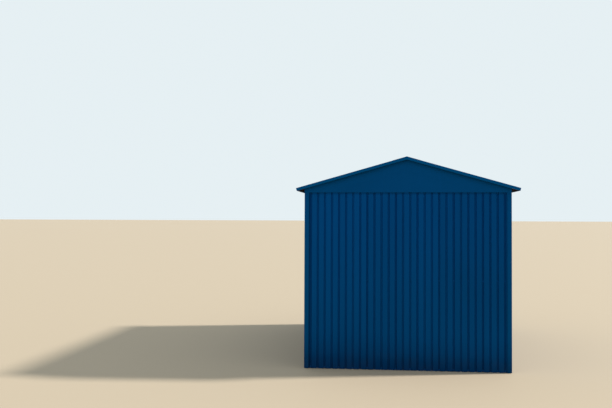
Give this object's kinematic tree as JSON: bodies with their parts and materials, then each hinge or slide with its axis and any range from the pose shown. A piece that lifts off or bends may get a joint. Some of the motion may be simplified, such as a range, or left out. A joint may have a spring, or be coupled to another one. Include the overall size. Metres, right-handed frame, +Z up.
{
  "type": "ribbed steel beach hut",
  "caption": "Small rectangular beach hut of dark blue ribbed steel sheet on a square tube frame, with a low gabled roof, a plain gable end and closed double doors.",
  "frame": {"origin": "middle of the footprint on the ground, at the underside of the base rails", "axes": "+X to the right of someone who faces the plain gable, +Y along the ridge from the plain gable towards the door end, +Z up"},
  "size_m": [2.3656, 3.676, 2.276],
  "materials": {
    "wall_paint": "satin dark blue coil paint, light grey-brown backing coat inside",
    "trim_paint": "satin dark blue coil paint",
    "roof_paint": "satin blue coil paint, a little chalked, grey-brown backing coat below",
    "frame_steel": "grey primer over steel tube",
    "door_fittings": "galvanised steel"
  },
  "bodies": {
    "root": {"base_rails_side": "frame_steel", "base_rails_end": "frame_steel", "corner_posts": "frame_steel", "mid_posts": "frame_steel", "door_posts": "frame_steel", "eaves_rails": "frame_steel", "tie_rails": "frame_steel", "girts_side": "frame_steel", "girt_front": "frame_steel", "girts_back": "frame_steel", "rafters_front": "frame_steel", "rafters_middle": "frame_steel", "rafters_back": "frame_steel", "king_posts": "frame_steel", "ridge_beam": "frame_steel", "purlins": "frame_steel", "front_wall_sheet": "wall_paint", "back_wall_sheet_left": "wall_paint", "back_wall_sheet_right": "wall_paint", "back_wall_sheet_top": "wall_paint", "left_wall_sheet": "wall_paint", "right_wall_sheet": "wall_paint", "front_gable_panel": "wall_paint", "back_gable_panel": "wall_paint", "corner_trim_front_left": "trim_paint", "corner_trim_front_right": "trim_paint", "corner_trim_back_left": "trim_paint", "corner_trim_back_right": "trim_paint", "roof_sheet_left": "roof_paint", "roof_sheet_right": "roof_paint", "ridge_cap": "roof_paint", "eaves_trim_left": "trim_paint", "eaves_trim_right": "trim_paint", "verge_trim_front_left": "trim_paint", "verge_trim_front_right": "trim_paint", "verge_trim_back_left": "trim_paint", "verge_trim_back_right": "trim_paint", "door_leaf_left": "wall_paint", "door_leaf_right": "wall_paint", "door_frame_trim": "trim_paint", "door_sill": "trim_paint", "door_hinges": "door_fittings", "door_handle": "door_fittings", "door_hasp": "door_fittings"}
  },
  "joints": []
}
